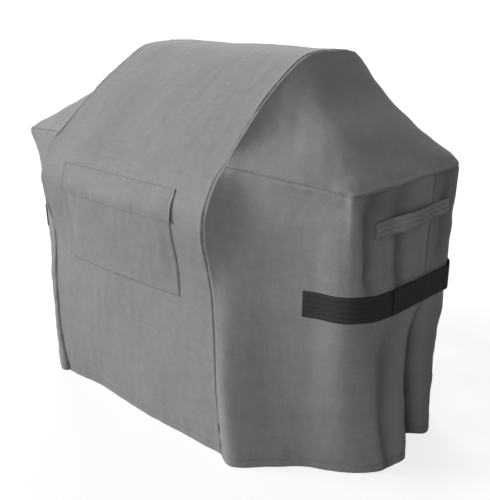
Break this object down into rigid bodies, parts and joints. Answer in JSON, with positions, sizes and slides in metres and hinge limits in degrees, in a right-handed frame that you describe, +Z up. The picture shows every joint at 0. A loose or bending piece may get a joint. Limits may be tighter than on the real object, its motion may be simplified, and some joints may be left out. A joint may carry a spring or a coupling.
{
  "type": "grill cover",
  "caption": "Fabric cover for a grill with side tables: a band over the hood, sloping hip panels, skirts, a flapped pocket, webbing end handles and hook-and-loop end straps.",
  "frame": {"origin": "centre of the bounding box's bottom face, on the ground under the cover", "axes": "+X towards the right end as seen from the front, -Y the front with the pocket, +Z up"},
  "size_m": [1.6086, 0.7774, 1.1507],
  "materials": {
    "cover_cloth": "matt woven polyester with a coated back",
    "handle_webbing": "grey polyester webbing",
    "strap_webbing": "black webbing",
    "closure_tape": "black hook and loop tape"
  },
  "bodies": {
    "cover": {"centre_panel": "cover_cloth", "right_hip_panel": "cover_cloth", "left_hip_panel": "cover_cloth", "right_front_skirt": "cover_cloth", "right_rear_skirt": "cover_cloth", "left_front_skirt": "cover_cloth", "left_rear_skirt": "cover_cloth", "pocket_pouch": "cover_cloth", "pocket_loop_strip": "closure_tape", "right_handle_ends": "handle_webbing", "left_handle_ends": "handle_webbing", "right_strap_base": "strap_webbing", "right_strap_loop_patch": "closure_tape", "right_strap_anchor": "strap_webbing", "left_strap_base": "strap_webbing", "left_strap_loop_patch": "closure_tape", "left_strap_anchor": "strap_webbing"},
    "flap": {"pocket_flap": "cover_cloth", "pocket_hook_strip": "closure_tape"},
    "right_handle": {"right_handle_loop": "handle_webbing"},
    "left_handle": {"left_handle_loop": "handle_webbing"},
    "right_tab": {"right_strap_tab": "strap_webbing", "right_strap_hook_patch": "closure_tape"},
    "left_tab": {"left_strap_tab": "strap_webbing", "left_strap_hook_patch": "closure_tape"}
  },
  "joints": [
    {"name": "pocket_flap_lift", "type": "hinge", "parent": "cover", "child": "flap", "pos_m": [0, -0.3565, 0.8035], "axis": [-1, 0, 0], "range_deg": [0, 160]},
    {"name": "right_handle_lift", "type": "hinge", "parent": "cover", "child": "right_handle", "pos_m": [0.7479, 0.102, 0.746], "axis": [0, -1, 0], "range_deg": [0, 75]},
    {"name": "left_handle_lift", "type": "hinge", "parent": "cover", "child": "left_handle", "pos_m": [-0.7479, 0.102, 0.746], "axis": [0, 1, 0], "range_deg": [0, 75]},
    {"name": "right_strap_peel", "type": "hinge", "parent": "cover", "child": "right_tab", "pos_m": [0.757, 0.317, 0.496], "axis": [0, 0, 1], "range_deg": [0, 140]},
    {"name": "left_strap_peel", "type": "hinge", "parent": "cover", "child": "left_tab", "pos_m": [-0.757, 0.317, 0.496], "axis": [0, 0, -1], "range_deg": [0, 140]}
  ]
}
